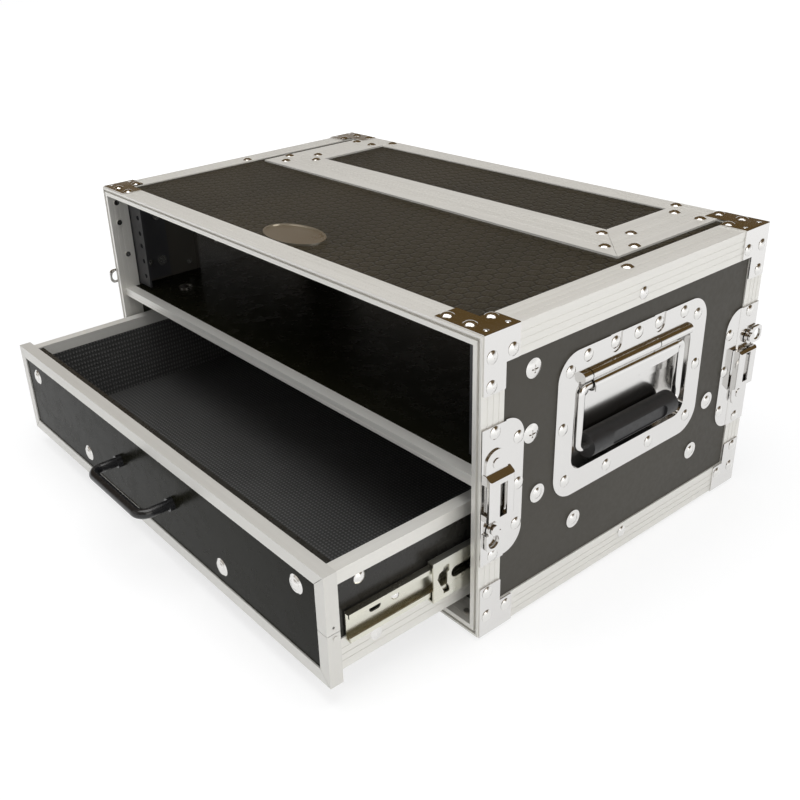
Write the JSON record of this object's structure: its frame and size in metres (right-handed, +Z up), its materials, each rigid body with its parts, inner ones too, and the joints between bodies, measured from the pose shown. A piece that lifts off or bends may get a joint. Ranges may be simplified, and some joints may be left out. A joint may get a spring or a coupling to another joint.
{
  "type": "road case with a rack bay and a drawer",
  "caption": "Aluminium-edged plywood road case with a 19-inch rack bay above a lined drawer on ball-bearing slides, side handles and lid latches.",
  "frame": {"origin": "under the middle of the case body, on the surface it stands on", "axes": "+X to the right seen from the drawer side, -Y towards the drawer side, +Z up"},
  "size_m": [0.5264, 0.4651, 0.235],
  "materials": {
    "laminate": "satin black plastic face on plywood",
    "top_laminate": "dark plastic face with a fine six-sided pattern on plywood",
    "gloss_laminate": "glossy black plastic face on plywood",
    "drawer_wood": "black plywood",
    "aluminium": "satin anodised, grooved along its length",
    "chrome": "bright plated steel",
    "zinc": "bright zinc plate",
    "rivet_metal": "bright plated",
    "rail_steel": "dark grey",
    "badge_metal": "bare satin metal",
    "rubber": "matt black",
    "mat": "dark grey ribbed mat with small dots",
    "black_metal": "semi-gloss black"
  },
  "bodies": {
    "case": {"top_panel": "top_laminate", "bottom_panel": "laminate", "left_side_panel": "laminate", "right_side_panel": "laminate", "shelf_panel": "gloss_laminate", "edge_extrusions": "aluminium", "shelf_trims": "aluminium", "top_frame": "aluminium", "front_rim_top": "aluminium", "front_rim_bottom": "aluminium", "front_rim_left": "aluminium", "front_rim_right": "aluminium", "rear_rim_top": "aluminium", "rear_rim_bottom": "aluminium", "rear_rim_left": "aluminium", "rear_rim_right": "aluminium", "corner_braces": "chrome", "shelf_brackets": "zinc", "slide_channels": "zinc", "handle_springs": "zinc", "case_rivets": "rivet_metal", "base_rivets": "rivet_metal", "side_bolts": "rivet_metal", "rack_rail_left": "rail_steel", "rack_rail_right": "rail_steel", "badge_plate": "badge_metal", "latch_body_front_right": "chrome", "latch_body_rear_right": "chrome", "latch_body_front_left": "chrome", "latch_body_rear_left": "chrome", "handle_dish_left": "chrome", "handle_bracket_left": "chrome", "handle_dish_right": "chrome", "handle_bracket_right": "chrome"},
    "drawer": {"drawer_front_panel": "gloss_laminate", "drawer_side_left": "drawer_wood", "drawer_side_right": "drawer_wood", "drawer_floor": "drawer_wood", "drawer_end_walls": "drawer_wood", "drawer_front_trim": "aluminium", "drawer_top_trims": "aluminium", "drawer_base_trims": "aluminium", "slide_drawer_members": "zinc", "drawer_fasteners": "rivet_metal", "drawer_lining": "mat", "drawer_pull": "black_metal"},
    "middle_slide_left": {"slide_middle_left": "zinc"},
    "middle_slide_right": {"slide_middle_right": "zinc"},
    "key_front_right": {"latch_key_front_right": "chrome"},
    "hook_front_right": {"latch_hook_front_right": "chrome"},
    "key_rear_right": {"latch_key_rear_right": "chrome"},
    "hook_rear_right": {"latch_hook_rear_right": "chrome"},
    "key_front_left": {"latch_key_front_left": "chrome"},
    "hook_front_left": {"latch_hook_front_left": "chrome"},
    "key_rear_left": {"latch_key_rear_left": "chrome"},
    "hook_rear_left": {"latch_hook_rear_left": "chrome"},
    "handle_left": {"handle_bail_left": "chrome", "handle_grip_left": "rubber"},
    "handle_right": {"handle_bail_right": "chrome", "handle_grip_right": "rubber"}
  },
  "joints": [
    {"name": "drawer_slide", "type": "slide", "parent": "case", "child": "drawer", "axis": [0, -1, 0], "range_m": [-0.13, 0.11]},
    {"name": "middle_slide_left_run", "type": "slide", "parent": "case", "child": "middle_slide_left", "axis": [0, -1, 0], "range_m": [-0.0655, 0.0555]},
    {"name": "middle_slide_right_run", "type": "slide", "parent": "case", "child": "middle_slide_right", "axis": [0, -1, 0], "range_m": [-0.0655, 0.0555]},
    {"name": "handle_left_swing", "type": "hinge", "parent": "case", "child": "handle_left", "pos_m": [-0.2539, 0, 0.163], "axis": [0, 1, 0], "range_deg": [0, 90], "stiffness_Nm_per_rad": 0.08, "springref_deg": -17.19},
    {"name": "handle_right_swing", "type": "hinge", "parent": "case", "child": "handle_right", "pos_m": [0.2539, 0, 0.163], "axis": [0, -1, 0], "range_deg": [0, 90], "stiffness_Nm_per_rad": 0.08, "springref_deg": -17.19},
    {"name": "key_front_right_turn", "type": "hinge", "parent": "case", "child": "key_front_right", "pos_m": [0.2585, -0.146, 0.091], "axis": [-1, 0, 0], "range_deg": [0, 90]},
    {"name": "hook_front_right_run", "type": "slide", "parent": "case", "child": "hook_front_right", "axis": [0, -1, 0], "range_m": [0, 0.0035]},
    {"name": "key_rear_right_turn", "type": "hinge", "parent": "case", "child": "key_rear_right", "pos_m": [0.2585, 0.146, 0.1404], "axis": [-1, 0, 0], "range_deg": [-90, 0]},
    {"name": "hook_rear_right_run", "type": "slide", "parent": "case", "child": "hook_rear_right", "axis": [0, 1, 0], "range_m": [-0.0035, 0]},
    {"name": "key_front_left_turn", "type": "hinge", "parent": "case", "child": "key_front_left", "pos_m": [-0.2585, -0.146, 0.1404], "axis": [1, 0, 0], "range_deg": [-90, 0]},
    {"name": "hook_front_left_run", "type": "slide", "parent": "case", "child": "hook_front_left", "axis": [0, -1, 0], "range_m": [-0.0035, 0]},
    {"name": "key_rear_left_turn", "type": "hinge", "parent": "case", "child": "key_rear_left", "pos_m": [-0.2585, 0.146, 0.091], "axis": [1, 0, 0], "range_deg": [0, 90]},
    {"name": "hook_rear_left_run", "type": "slide", "parent": "case", "child": "hook_rear_left", "axis": [0, 1, 0], "range_m": [0, 0.0035]}
  ],
  "couplings": [
    {"joint": "middle_slide_left_run", "follows": "drawer_slide", "ratio": 0.5},
    {"joint": "middle_slide_right_run", "follows": "drawer_slide", "ratio": 0.5},
    {"joint": "key_front_right_turn", "follows": "hook_front_right_run", "rad_per_m": 448.79},
    {"joint": "key_rear_right_turn", "follows": "hook_rear_right_run", "rad_per_m": 448.79},
    {"joint": "key_front_left_turn", "follows": "hook_front_left_run", "rad_per_m": 448.79},
    {"joint": "key_rear_left_turn", "follows": "hook_rear_left_run", "rad_per_m": 448.79}
  ]
}
